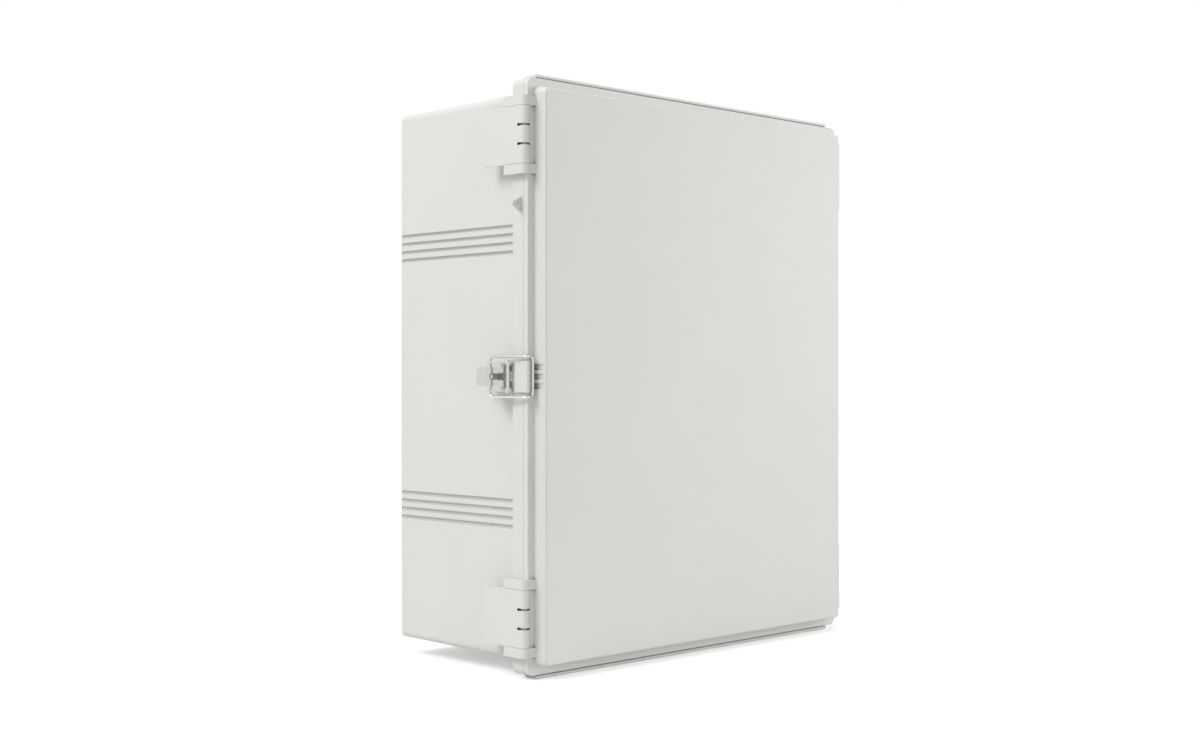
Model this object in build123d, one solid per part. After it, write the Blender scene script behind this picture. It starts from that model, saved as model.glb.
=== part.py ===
from build123d import *
import os
from math import atan, cos, degrees, hypot, radians, tan

# Wall-mounted moulded enclosure with a raised door.
# Origin at the centre of the wall face. +Y into the wall, -Y the door front, +Z up, millimetres.
# The hinges are on +X. Two snap latches, a wire draw latch and a seal lug are on -X.

# Depths, measured back from the front of the raised panel
DEPTH = 237.0
RIM_SETBACK = 15.0
PARTING_SETBACK = 21.3
PARTING_GAP = 0.3
FLANGE_SETBACK = 38.3

# Door
RIM_WIDTH = 504.0
RIM_HEIGHT = 600.0
RIM_CORNER = 8.0
RIM_FACE = 3.0
RIM_SKIRT = 3.0
RIM_EDGE_ROUND = 1.0
PANEL_SIDE_INSET = 10.8
PANEL_TOP_INSET = 11.1
PANEL_CORNER = 5.0
PANEL_FLARE = 2.6
PANEL_WALL = 3.5
PANEL_EDGE_ROUND = 2.2

# Base
BASE_STEP = 10.8
BASE_CORNER = 6.0
BASE_WALL = 4.0
BASE_DRAFT = 1.04
BASE_EDGE_ROUND = 2.5
FLANGE_EDGE_ROUND = 1.0

# Seal between the door and the base
TONGUE_THICK = 3.0
TONGUE_GAP = 2.4
TONGUE_CORNER = 4.0
SEAL_GAP = 0.3
GASKET_WIDTH = 6.0
GASKET_THICK = 5.2
GASKET_FIT = 0.1
SEAL_RIB_THICK = 2.0
SEAL_RIB_HEIGHT = 6.5
SEAL_RIB_CORNER = 3.0
MOUTH_CORNER = 2.0

# Rain lips on the base, over and under the door rim
LIP_END_INSET = 13.6
LIP_GAP = 1.3
LIP_THICK = 3.1
LIP_OVERHANG = 3.9
LIP_REAR_SLOPE = 6.0
LIP_ROUND = 1.2
LIP_FOOT_INSET = 0.4

# How far a rib, lug or knuckle runs into the wall that carries it
ROOT = 1.0
# How far a cutting shape runs past what it cuts
PAST = 1.0

# Stiffening grooves in both side walls
GROOVE_RADIUS = 2.0
GROOVE_DEPTH = 2.9
GROOVE_PITCH = 8.8
GROOVE_COUNT = 4
GROOVE_GROUP_Z = 139.9
GROOVE_BACKING = 2.4

# Snap latches and hinges share one height, width and round front
UNIT_END_INSET = 58.0
UNIT_HEIGHT = 58.0
EAR_HEIGHT = 9.7
EAR_GAP = 0.3
BARREL_RADIUS = 5.5
BARREL_RELIEF = 0.5
SIDE_CLEARANCE = 0.5
PIN_RADIUS = 2.0
PIN_FIT = 0.02
RUNNING_FIT = 0.05
PIN_END_INSET = 0.4
LATCH_AXIS_OUT = 2.5
HINGE_AXIS_OUT = 4.0
AXIS_BEHIND_RIM = 2.4
EAR_PAST_FLANGE = 4.0
KNUCKLE_SLOPE = 5.5
KNUCKLE_SLOPE_IN = 4.0
KNUCKLE_END_INSET = 0.5
PIN_BEVEL = 0.3

# Snap latch flap
FLAP_PLATE_LENGTH = 30.5
FLAP_PLATE_THICK = 2.6
FLAP_PLATE_RECESS = 0.9
FLAP_NOSE_REACH = 5.0
FLAP_NOSE_GAP = 0.5
FLAP_NOSE_THICK = 4.2
FLAP_NOSE_TIP = 1.2
FLAP_BODY_PAST_NOSE = 1.5
FLAP_BODY_BEVEL = 0.8
FLAP_NECK = 2.0
FLAP_SLOT_SPREAD = 9.6
FLAP_SLOT_HEIGHT = 2.2
FLAP_SLOT_DEPTH = 2.4
FLAP_SLOT_PAST_AXIS = 3.0
FLAP_RELIEF_RADIUS = 1.7
FLAP_RELIEF_DEPTH = 5.0
FLAP_EDGE_ROUND = 0.8

# Wire draw latch: depths are measured back from the lever's pivot, widths out from the rim's side
LEVER_AXIS_OUT = 6.0
LEVER_AXIS_BEFORE_FLANGE_END = 0.3
BAIL_AXIS_OUT = 10.0
BAIL_AXIS_BACK = 22.8
WIRE_RADIUS = 1.5
WIRE_HALF_HEIGHT = 20.4
WIRE_SEAT_IN = 4.0
WIRE_BEFORE_RIM = 3.1
WIRE_SHOULDER_OUT = 4.3
WIRE_BEND = 4.0
LEVER_HALF_HEIGHT = 15.0
LEVER_SHEET = 1.5
LEVER_BOSS = 4.6
LEVER_CHEEK_STEP = 0.2
LEVER_CHEEK_SLOPE = 4.0
LEVER_WEB_IN = 2.0
LEVER_OUTER_OUT = 12.1
LEVER_WEB_BACK = 14.0
LEVER_REAR_BACK = 30.0
LEVER_LIP_HEIGHT = 5.6
LEVER_LIP_START = 3.5
LEVER_LIP_END = 18.0
LEVER_TAIL_OUT = 11.5
LEVER_TAIL_BACK = 42.0
LEVER_TAIL_HALF_HEIGHT = 10.0
LEVER_TAIL_CORNER = 4.5
BRACKET_PAD = 1.8
BRACKET_PLATE = 1.8
BRACKET_EAR = 1.5
BRACKET_EAR_GAP = 0.3
BRACKET_EAR_RADIUS = 3.7
BRACKET_BEHIND_FLANGE = 1.0
BRACKET_EAR_BACK = 12.0
BRACKET_BACK = 34.0
BRACKET_NECK = 0.8
BRACKET_CORNER = 4.0
PAD_MARGIN = 2.0
PAD_ROOT = 3.0
STAPLE_BACK = 14.0
STAPLE_THICK = 2.2
STAPLE_HALF_HEIGHT = 3.2
STAPLE_CORNER = 2.8
STAPLE_OUT = 19.2
STAPLE_HOLE_RADIUS = 1.7
STAPLE_SLOT_GAP = 1.2
STAPLE_SLOT_BACK = 21.6
PIVOT_PIN_RADIUS = 1.9
PIVOT_HEAD_RADIUS = 3.2
PIVOT_HEAD_HEIGHT = 1.6
PIVOT_HEAD_BEVEL = 0.8
LATCH_SCREW_BACK = 27.0
LATCH_SCREW_Z = 8.0
LATCH_SCREW_RADIUS = 1.9
LATCH_SCREW_HOLE_GAP = 0.2
LATCH_SCREW_HEAD_RADIUS = 3.6
LATCH_SCREW_HEAD = 2.0
LATCH_SCREW_BITE = 5.0
LATCH_SCREW_HEAD_BEVEL = 0.9
LATCH_SCREW_SOCKET = 1.3
LATCH_SCREW_SOCKET_DEPTH = 1.4
SCREW_BOSS_WALL = 1.5
SCREW_BOSS_MARGIN = 2.4

# Keeper for the wire, on the door
KEEPER_HALF_HEIGHT = 16.0
KEEPER_BEFORE_PIVOT = 6.0
KEEPER_OUT = 2.6
KEEPER_CREST_WIDTH = 1.5
KEEPER_CREST_DROP = 1.2
KEEPER_SLOPE = 12.4
KEEPER_WIRE_GAP = 0.2
POCKET_COUNT = 3
POCKET_PITCH = 9.6
POCKET_HEIGHT = 5.6
POCKET_DEPTH = 2.4
POCKET_FRONT_INSET = 0.5

# Seal lug on the flange, measured down from the top of the rim
LUG_BEHIND_PARTING = 2.7
LUG_THICK = 2.6
LUG_TOP_DROP = 119.0
LUG_HEIGHT = 17.0
LUG_TIP_BELOW_TOP = 7.5
LUG_TIP_OUT = 12.0
LUG_TIP_RADIUS = 2.6
LUG_HOLE_OUT = 5.3
LUG_HOLE_BELOW_TOP = 6.7
LUG_HOLE_RADIUS = 1.6

# Wall fixing holes, measured in from the base's front outline
WALL_HOLE_INSET = 17.2
WALL_HOLE_RADIUS = 4.2
WALL_BOSS_RADIUS = 8.5
WALL_BOSS_HEIGHT = 3.0

# Mounting plate inside, on four posts with threaded inserts
PLATE_SIDE_INSET = 26.2
PLATE_TOP_INSET = 24.2
PLATE_THICK = 2.0
PLATE_CORNER_CUT = 22.0
PLATE_HOLE_INSET = 25.0
PLATE_HOLE_RADIUS = 2.8
POST_RADIUS = 8.0
POST_HEIGHT = 14.0
INSERT_RADIUS = 3.6
INSERT_LENGTH = 10.0
SCREW_RADIUS = 2.45
SCREW_HEAD_RADIUS = 4.8
SCREW_HEAD = 3.2
SCREW_HEAD_BEVEL = 1.2
SCREW_BITE = 8.0
SCREW_DRIVE_RADIUS = 2.2
SCREW_DRIVE_DEPTH = 1.8

# Worked out from the sizes above: distances from the wall, widths and heights
RIM_FRONT = DEPTH - RIM_SETBACK
PARTING = DEPTH - PARTING_SETBACK
FLANGE_FRONT = PARTING - PARTING_GAP
FLANGE_REAR = DEPTH - FLANGE_SETBACK
PANEL_WIDTH = RIM_WIDTH - 2 * PANEL_SIDE_INSET
PANEL_HEIGHT = RIM_HEIGHT - 2 * PANEL_TOP_INSET
BASE_FRONT_WIDTH = RIM_WIDTH - 2 * BASE_STEP
BASE_FRONT_HEIGHT = RIM_HEIGHT - 2 * BASE_STEP
TAPER = tan(radians(BASE_DRAFT))
BASE_BACK_WIDTH = BASE_FRONT_WIDTH - 2 * FLANGE_REAR * TAPER
TONGUE_INSET = PANEL_WALL + TONGUE_GAP - PANEL_FLARE / 2
TONGUE_WIDTH = PANEL_WIDTH - 2 * TONGUE_INSET
TONGUE_HEIGHT = PANEL_HEIGHT - 2 * TONGUE_INSET
TONGUE_SETBACK = PANEL_WALL + GASKET_THICK + SEAL_GAP
LIP_SETBACK = PARTING_SETBACK - LIP_OVERHANG
LIP_WIDTH = RIM_WIDTH - 2 * LIP_END_INSET
PLATE_WIDTH = BASE_FRONT_WIDTH - 2 * PLATE_SIDE_INSET
PLATE_HEIGHT = BASE_FRONT_HEIGHT - 2 * PLATE_TOP_INSET
POST_X = PLATE_WIDTH / 2 - PLATE_HOLE_INSET
POST_Z = PLATE_HEIGHT / 2 - PLATE_HOLE_INSET
WALL_HOLE_X = BASE_FRONT_WIDTH / 2 - WALL_HOLE_INSET
WALL_HOLE_Z = BASE_FRONT_HEIGHT / 2 - WALL_HOLE_INSET
POST_TOP = BASE_WALL + POST_HEIGHT
LUG_SETBACK = PARTING_SETBACK + LUG_BEHIND_PARTING
LUG_TOP_Z = RIM_HEIGHT / 2 - LUG_TOP_DROP
LUG_TIP_Z = LUG_TOP_Z - LUG_TIP_BELOW_TOP
LUG_HOLE_Z = LUG_TOP_Z - LUG_HOLE_BELOW_TOP

# Worked out: places on the latch side and the hinge side
SIDE_X = -RIM_WIDTH / 2
UNIT_Z = RIM_HEIGHT / 2 - UNIT_END_INSET
EAR_TOP = UNIT_HEIGHT / 2 + EAR_GAP + EAR_HEIGHT
LATCH_AXIS_X = SIDE_X - LATCH_AXIS_OUT
HINGE_AXIS_X = -SIDE_X + HINGE_AXIS_OUT
AXIS_SETBACK = RIM_SETBACK + AXIS_BEHIND_RIM
UNIT_OUTER_X = LATCH_AXIS_X - BARREL_RADIUS
EAR_SETBACK = FLANGE_SETBACK + EAR_PAST_FLANGE
FLAP_NOSE_SETBACK = FLANGE_SETBACK + FLAP_NOSE_GAP
FLAP_BODY_SETBACK = FLAP_NOSE_SETBACK + FLAP_NOSE_THICK + FLAP_BODY_PAST_NOSE
FLAP_PLATE_SETBACK = FLAP_BODY_SETBACK + FLAP_PLATE_LENGTH
PAD_X = -BASE_FRONT_WIDTH / 2 - BRACKET_PAD
LEVER_AXIS_X = SIDE_X - LEVER_AXIS_OUT
LEVER_AXIS_SETBACK = FLANGE_SETBACK - LEVER_AXIS_BEFORE_FLANGE_END
LEVER_WEB_X = SIDE_X + LEVER_WEB_IN
LEVER_OUTER_X = SIDE_X - LEVER_OUTER_OUT
LEVER_TAIL_X = SIDE_X - LEVER_TAIL_OUT
LEVER_WEB_SETBACK = LEVER_AXIS_SETBACK + LEVER_WEB_BACK
LEVER_REAR_SETBACK = LEVER_AXIS_SETBACK + LEVER_REAR_BACK
LEVER_TAIL_SETBACK = LEVER_AXIS_SETBACK + LEVER_TAIL_BACK
BAIL_AXIS_X = SIDE_X - BAIL_AXIS_OUT
BAIL_AXIS_SETBACK = LEVER_AXIS_SETBACK + BAIL_AXIS_BACK
WIRE_SEAT_X = SIDE_X + WIRE_SEAT_IN
WIRE_SHOULDER_X = SIDE_X - WIRE_SHOULDER_OUT
WIRE_SEAT_SETBACK = RIM_SETBACK - WIRE_BEFORE_RIM
BRACKET_SETBACK = FLANGE_SETBACK + BRACKET_BEHIND_FLANGE
BRACKET_EAR_REAR = LEVER_AXIS_SETBACK + BRACKET_EAR_BACK
BRACKET_REAR_SETBACK = LEVER_AXIS_SETBACK + BRACKET_BACK
STAPLE_SETBACK = LEVER_AXIS_SETBACK + STAPLE_BACK
STAPLE_TIP_X = SIDE_X - STAPLE_OUT
STAPLE_SLOT_SETBACK = LEVER_AXIS_SETBACK + STAPLE_SLOT_BACK
LIP_START_SETBACK = LEVER_AXIS_SETBACK + LEVER_LIP_START
LIP_END_SETBACK = LEVER_AXIS_SETBACK + LEVER_LIP_END
LATCH_SCREW_SETBACK = LEVER_AXIS_SETBACK + LATCH_SCREW_BACK
KEEPER_SETBACK = LEVER_AXIS_SETBACK - KEEPER_BEFORE_PIVOT
KEEPER_OUTER_X = SIDE_X - KEEPER_OUT


def y_at(setback):
    """Y of a point that lies this far behind the panel's front face."""
    return setback - DEPTH


def outline(width, height, corner, from_wall):
    """Rounded rectangle facing the front, this far from the wall."""
    return Plane.XZ.offset(from_wall) * RectangleRounded(width, height, corner)


def slab(width, height, corner, start, end):
    """Rounded rectangular block between two distances from the wall."""
    return extrude(outline(width, height, corner, start), end - start)


def ring(width, height, corner, thick, start, end):
    """Rectangular frame of even thickness between two distances from the wall."""
    inner_corner = max(corner - thick, 0.5)
    inner = slab(width - 2 * thick, height - 2 * thick, inner_corner, start - 1, end + 1)
    return slab(width, height, corner, start, end) - inner


def plan_rect(x_low, x_high, front, rear):
    """Rectangle seen from above, between two setbacks."""
    centre = Pos((x_low + x_high) / 2, y_at((front + rear) / 2))
    return centre * Rectangle(x_high - x_low, rear - front)


def plan_circle(x, setback, radius):
    return Pos(x, y_at(setback)) * Circle(radius)


def plan_polygon(points):
    """Closed outline seen from above, from (x, setback) points."""
    corners = [(x, y_at(setback)) for x, setback in points]
    return make_face(Polyline(*corners, close=True))


def upright(sketch, low, high):
    """A plan outline carried up from one height to another."""
    return Pos(0, 0, low) * extrude(sketch, high - low)


def rod(x, setback, radius, low, high):
    """Vertical round bar."""
    return upright(plan_circle(x, setback, radius), low, high)


def front_rod(x, z, radius, start, end):
    """Round bar along the depth, between two distances from the wall."""
    return extrude(Plane.XZ.offset(start) * Pos(x, z) * Circle(radius), end - start)


def side_rod(setback, z, radius, x_low, x_high):
    """Round bar along X."""
    plane = Plane(origin=(x_low, y_at(setback), z), x_dir=(0, 1, 0), z_dir=(1, 0, 0))
    return extrude(plane * Circle(radius), x_high - x_low)


def wall_line(side, z):
    """Plane at the back of a side wall, its normal along the tapered outer face."""
    lean = side * TAPER
    start = (side * BASE_BACK_WIDTH / 2, 0, z)
    return Plane(origin=start, x_dir=(1, lean, 0), z_dir=(lean, -1, 0))


def tapered_box(shrink, start, end):
    """The base's tapered block, drawn in by a wall thickness: extruded back from its front outline."""
    ahead = (FLANGE_REAR - end) * TAPER
    front = outline(
        BASE_FRONT_WIDTH - 2 * (shrink + ahead), BASE_FRONT_HEIGHT - 2 * (shrink + ahead),
        BASE_CORNER + FLANGE_REAR * TAPER - shrink, end)
    return extrude(front, start - end, taper=BASE_DRAFT)


def groove_heights():
    first = -(GROOVE_COUNT - 1) / 2 * GROOVE_PITCH
    steps = [first + index * GROOVE_PITCH for index in range(GROOVE_COUNT)]
    return [group * GROOVE_GROUP_Z + step for group in (1, -1) for step in steps]


def side_grooves():
    """Round-bottomed grooves that run from the flange to the back on both sides."""
    length = hypot(FLANGE_REAR, FLANGE_REAR * TAPER)
    inset = GROOVE_DEPTH - GROOVE_RADIUS
    cuts = []
    for side in (-1, 1):
        for z in groove_heights():
            profile = SlotCenterToCenter(2 * inset, 2 * GROOVE_RADIUS)
            cuts.append(extrude(wall_line(side, z) * profile, length))
    return cuts


def groove_backing(outer):
    """Thicker bands of wall behind the grooves, so the grooves don't thin it."""
    height = GROOVE_COUNT * GROOVE_PITCH + 2 * GROOVE_RADIUS
    bands = []
    for side in (-1, 1):
        for group in (-1, 1):
            profile = Rectangle(2 * (BASE_WALL + GROOVE_BACKING), height)
            plane = wall_line(side, group * GROOVE_GROUP_Z)
            bands.append(extrude(plane * profile, FLANGE_REAR) & outer)
    return bands


def rain_lip(side):
    """Lip that stands on the flange and reaches forward past the door rim's edge."""
    low = RIM_HEIGHT / 2
    bottom = low + LIP_GAP
    top = bottom + LIP_THICK
    foot_front = y_at(PARTING_SETBACK + PARTING_GAP + LIP_FOOT_INSET)
    slope_start = y_at(FLANGE_SETBACK - LIP_REAR_SLOPE)
    section = [
        (y_at(FLANGE_SETBACK), low - ROOT), (foot_front, low - ROOT), (foot_front, bottom),
        (y_at(LIP_SETBACK), bottom), (y_at(LIP_SETBACK), top), (slope_start, top),
        (y_at(FLANGE_SETBACK), low)]
    profile = Plane.YZ.offset(-LIP_WIDTH / 2) * make_face(Polyline(*section, close=True))
    lip = extrude(profile, LIP_WIDTH)
    ends = lip.edges().filter_by(Axis.Y).group_by(Axis.Z)[-1]
    lip = fillet(ends, LIP_THICK - LIP_ROUND)
    front = lip.edges().filter_by(Axis.X).group_by(Axis.Y)[0]
    lip = fillet(front, LIP_ROUND)
    return lip if side > 0 else mirror(lip, about=Plane.XY)


def seal_lug():
    """Three-cornered lug on the flange with a hole for a seal wire."""
    tip = Pos(SIDE_X - LUG_TIP_OUT + LUG_TIP_RADIUS, LUG_TIP_Z) * Circle(LUG_TIP_RADIUS)
    root = Pos(SIDE_X + ROOT, LUG_TOP_Z - LUG_HEIGHT / 2) * Rectangle(ROOT, LUG_HEIGHT)
    profile = make_hull((tip + root).edges())
    profile -= Pos(SIDE_X - LUG_HOLE_OUT, LUG_HOLE_Z) * Circle(LUG_HOLE_RADIUS)
    return extrude(Plane.XZ.offset(DEPTH - LUG_SETBACK - LUG_THICK) * profile, LUG_THICK)


def unit_relief(axis_x, z, radius):
    """Round clearance that a barrel or knuckle turns in."""
    half = UNIT_HEIGHT / 2 + EAR_GAP
    return rod(axis_x, AXIS_SETBACK, radius, z - half, z + half)


def ear_pair(profile, z):
    """Two like ears above and below a latch flap or hinge knuckle."""
    inner = UNIT_HEIGHT / 2 + EAR_GAP
    return [upright(profile, z + inner, z + EAR_TOP), upright(profile, z - EAR_TOP, z - inner)]


def latch_ear_profile():
    """Ear that carries a flap's pin and runs back beside the base flange."""
    arm_root = -PANEL_WIDTH / 2 - PANEL_FLARE + ROOT
    front = AXIS_SETBACK - BARREL_RADIUS
    beside_flange = plan_rect(SIDE_X - SIDE_CLEARANCE, arm_root, PARTING_SETBACK, EAR_SETBACK)
    return (
        plan_circle(LATCH_AXIS_X, AXIS_SETBACK, BARREL_RADIUS)
        + plan_rect(LATCH_AXIS_X, arm_root, front, PARTING_SETBACK)
        + plan_rect(UNIT_OUTER_X, SIDE_X - SIDE_CLEARANCE, AXIS_SETBACK, EAR_SETBACK)
        - beside_flange)


def hinge_ear_profile():
    """Ear on the hinge side, round about the pin so that it clears the flange as it turns."""
    arm_root = PANEL_WIDTH / 2 + PANEL_FLARE - ROOT
    front = AXIS_SETBACK - BARREL_RADIUS
    return (
        plan_circle(HINGE_AXIS_X, AXIS_SETBACK, BARREL_RADIUS)
        + plan_rect(arm_root, HINGE_AXIS_X, front, PARTING_SETBACK))


def hinge_knuckle(z):
    """Knuckle on the base, round in front and straight back to the flange's side."""
    half = UNIT_HEIGHT / 2
    inner_x = -SIDE_X + SIDE_CLEARANCE
    outer_x = HINGE_AXIS_X + BARREL_RADIUS
    root_x = -SIDE_X - ROOT
    root_front = PARTING_SETBACK + PARTING_GAP + SIDE_CLEARANCE
    rear = FLANGE_SETBACK - KNUCKLE_END_INSET
    web = plan_polygon([
        (inner_x, AXIS_SETBACK), (outer_x, AXIS_SETBACK), (outer_x, rear - KNUCKLE_SLOPE),
        (outer_x - KNUCKLE_SLOPE_IN, rear), (root_x, rear), (root_x, root_front),
        (inner_x, root_front)])
    profile = plan_circle(HINGE_AXIS_X, AXIS_SETBACK, BARREL_RADIUS) + web
    bore = rod(HINGE_AXIS_X, AXIS_SETBACK, PIN_RADIUS + RUNNING_FIT, z - half, z + half)
    return upright(profile, z - half, z + half) - bore


def latch_pad():
    """Flat pad on the tapered side wall for the draw latch bracket."""
    half = LEVER_HALF_HEIGHT + PAD_MARGIN / 2
    rear = BRACKET_REAR_SETBACK + PAD_MARGIN
    root_x = -BASE_FRONT_WIDTH / 2 + PAD_ROOT
    return upright(plan_rect(PAD_X, root_x, FLANGE_SETBACK, rear), -half, half)


def latch_screw_boss():
    """Thicker wall inside the base for the draw latch screws."""
    inner_x = PAD_X + LATCH_SCREW_BITE + SCREW_BOSS_WALL
    reach = LATCH_SCREW_HEAD_RADIUS + SCREW_BOSS_MARGIN
    half = LATCH_SCREW_Z + reach
    profile = plan_rect(
        PAD_X + SCREW_BOSS_WALL, inner_x, LATCH_SCREW_SETBACK - reach, LATCH_SCREW_SETBACK + reach)
    return upright(profile, -half, half)


def wall_hole_places():
    return [(side * WALL_HOLE_X, level * WALL_HOLE_Z) for level in (1, -1) for side in (-1, 1)]


def post_places():
    return [(side * POST_X, level * POST_Z) for level in (1, -1) for side in (-1, 1)]


def base_flange():
    """Wide flange at the mouth of the base, with the tongue that presses on the seal."""
    flange = slab(RIM_WIDTH, RIM_HEIGHT, RIM_CORNER, FLANGE_REAR, FLANGE_FRONT)
    flange = chamfer(flange.faces().sort_by(Axis.Y)[-1].edges(), FLANGE_EDGE_ROUND)
    mouth_width = TONGUE_WIDTH - 2 * TONGUE_THICK
    mouth_height = TONGUE_HEIGHT - 2 * TONGUE_THICK
    mouth = slab(mouth_width, mouth_height, MOUTH_CORNER, FLANGE_REAR - PAST, FLANGE_FRONT + PAST)
    tongue = ring(TONGUE_WIDTH, TONGUE_HEIGHT, TONGUE_CORNER, TONGUE_THICK, FLANGE_FRONT,
                  DEPTH - TONGUE_SETBACK)
    return flange - mouth + tongue


def base_shell():
    outer = tapered_box(0, 0, FLANGE_REAR)
    outer = fillet(outer.faces().sort_by(Axis.Y)[-1].edges(), BASE_EDGE_ROUND)
    shell = outer - tapered_box(BASE_WALL, BASE_WALL, FLANGE_REAR)
    shell += groove_backing(outer)
    shell -= side_grooves()
    shell += [base_flange(), rain_lip(1), rain_lip(-1), seal_lug(), latch_pad(), latch_screw_boss()]
    for level in (1, -1):
        shell += hinge_knuckle(level * UNIT_Z)
        shell -= unit_relief(LATCH_AXIS_X, level * UNIT_Z, BARREL_RADIUS + BARREL_RELIEF)
    for x, z in post_places():
        shell += front_rod(x, z, POST_RADIUS, BASE_WALL - ROOT, POST_TOP)
        shell -= front_rod(x, z, INSERT_RADIUS + PIN_FIT, POST_TOP - INSERT_LENGTH, POST_TOP)
    boss_top = BASE_WALL + WALL_BOSS_HEIGHT
    for x, z in wall_hole_places():
        shell += front_rod(x, z, WALL_BOSS_RADIUS, BASE_WALL - ROOT, boss_top)
        shell -= front_rod(x, z, WALL_HOLE_RADIUS, -PAST, boss_top + PAST)
    for z in (LATCH_SCREW_Z, -LATCH_SCREW_Z):
        shell -= side_rod(LATCH_SCREW_SETBACK, z, LATCH_SCREW_RADIUS + PIN_FIT, PAD_X - PAST,
                          PAD_X + LATCH_SCREW_BITE)
    return shell


def keeper():
    """Hooked block for the wire: its front slopes inward, square to the wire's pull."""
    slope = tan(radians(KEEPER_SLOPE))
    seat = WIRE_SEAT_SETBACK + (WIRE_RADIUS + KEEPER_WIRE_GAP) / cos(radians(KEEPER_SLOPE))
    crest_x = KEEPER_OUTER_X + KEEPER_CREST_WIDTH
    root_x = -PANEL_WIDTH / 2 - PANEL_FLARE + ROOT
    crest = seat - (WIRE_SEAT_X - crest_x) * slope
    toe_x = WIRE_SEAT_X + (RIM_SETBACK - seat) / slope
    hook = plan_polygon([
        (KEEPER_OUTER_X, crest + KEEPER_CREST_DROP), (crest_x, crest),
        (min(toe_x, root_x), RIM_SETBACK), (root_x, PARTING_SETBACK),
        (KEEPER_OUTER_X, PARTING_SETBACK)])
    skirt = plan_rect(KEEPER_OUTER_X, SIDE_X - SIDE_CLEARANCE, PARTING_SETBACK - ROOT, KEEPER_SETBACK)
    return upright(hook + skirt, -KEEPER_HALF_HEIGHT, KEEPER_HALF_HEIGHT)


def side_pockets():
    """Three tapering pockets in the panel's side, beside the keeper."""
    wall_x = -PANEL_WIDTH / 2
    root_x = wall_x - PANEL_FLARE
    wedge = plan_polygon([
        (root_x, RIM_SETBACK), (root_x + POCKET_DEPTH, RIM_SETBACK),
        (wall_x, PANEL_EDGE_ROUND + POCKET_FRONT_INSET), (root_x - PAST, PANEL_EDGE_ROUND)])
    first = -(POCKET_COUNT - 1) / 2 * POCKET_PITCH
    cuts = []
    for index in range(POCKET_COUNT):
        centre = first + index * POCKET_PITCH
        cuts.append(upright(wedge, centre - POCKET_HEIGHT / 2, centre + POCKET_HEIGHT / 2))
    return cuts


def raised_panel():
    """Raised front of the door, flaring out towards the rim."""
    root = outline(PANEL_WIDTH + 2 * PANEL_FLARE, PANEL_HEIGHT + 2 * PANEL_FLARE,
                   PANEL_CORNER + PANEL_FLARE, RIM_FRONT)
    panel = extrude(root, RIM_SETBACK, taper=degrees(atan(PANEL_FLARE / RIM_SETBACK)))
    return fillet(panel.faces().sort_by(Axis.Y)[0].edges(), PANEL_EDGE_ROUND)


def panel_hollow():
    """Space behind the raised panel, open to the base."""
    width = PANEL_WIDTH + 2 * (PANEL_FLARE - PANEL_WALL)
    height = PANEL_HEIGHT + 2 * (PANEL_FLARE - PANEL_WALL)
    depth = RIM_SETBACK - PANEL_WALL
    root = outline(width, height, PANEL_CORNER, RIM_FRONT)
    hollow = extrude(root, depth, taper=degrees(atan(PANEL_FLARE / depth)))
    return hollow + slab(width, height, PANEL_CORNER, PARTING - PAST, RIM_FRONT)


def seal_rib():
    """Inner wall of the channel that holds the foam strip."""
    inset = GASKET_WIDTH + GASKET_FIT
    panel_back = DEPTH - PANEL_WALL
    return ring(gasket_size(PANEL_WIDTH) - 2 * inset, gasket_size(PANEL_HEIGHT) - 2 * inset,
                SEAL_RIB_CORNER, SEAL_RIB_THICK, panel_back - SEAL_RIB_HEIGHT, panel_back + ROOT)


def door_shell():
    rim = slab(RIM_WIDTH, RIM_HEIGHT, RIM_CORNER, PARTING, RIM_FRONT)
    rim = fillet(rim.faces().sort_by(Axis.Y)[0].edges(), RIM_EDGE_ROUND)
    shell = raised_panel() + rim - panel_hollow() - rim_channel()
    reach = EAR_TOP - PIN_END_INSET
    for level in (1, -1):
        z = level * UNIT_Z
        shell += ear_pair(latch_ear_profile(), z)
        shell += ear_pair(hinge_ear_profile(), z)
        for axis_x in (LATCH_AXIS_X, HINGE_AXIS_X):
            shell -= unit_relief(axis_x, z, BARREL_RADIUS + BARREL_RELIEF)
            shell -= rod(axis_x, AXIS_SETBACK, PIN_RADIUS + PIN_FIT, z - reach, z + reach)
    shell += keeper()
    shell -= side_pockets()
    return shell + seal_rib()


def rim_channel():
    """Channel under the rim, between the panel's wall and the outer skirt."""
    outer_width = RIM_WIDTH - 2 * RIM_SKIRT
    outer_height = RIM_HEIGHT - 2 * RIM_SKIRT
    thick = PANEL_SIDE_INSET - PANEL_FLARE - RIM_SKIRT
    return ring(outer_width, outer_height, RIM_CORNER - RIM_SKIRT, thick, PARTING - PAST,
                RIM_FRONT - RIM_FACE)


def gasket_size(panel_size):
    return panel_size - 2 * (PANEL_WALL + GASKET_FIT)


def door_gasket():
    """Foam strip that lies in the door's channel and takes the base's tongue."""
    top = DEPTH - PANEL_WALL
    bottom = DEPTH - TONGUE_SETBACK + SEAL_GAP
    return ring(gasket_size(PANEL_WIDTH), gasket_size(PANEL_HEIGHT), PANEL_CORNER - GASKET_FIT,
                GASKET_WIDTH, bottom, top)


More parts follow.
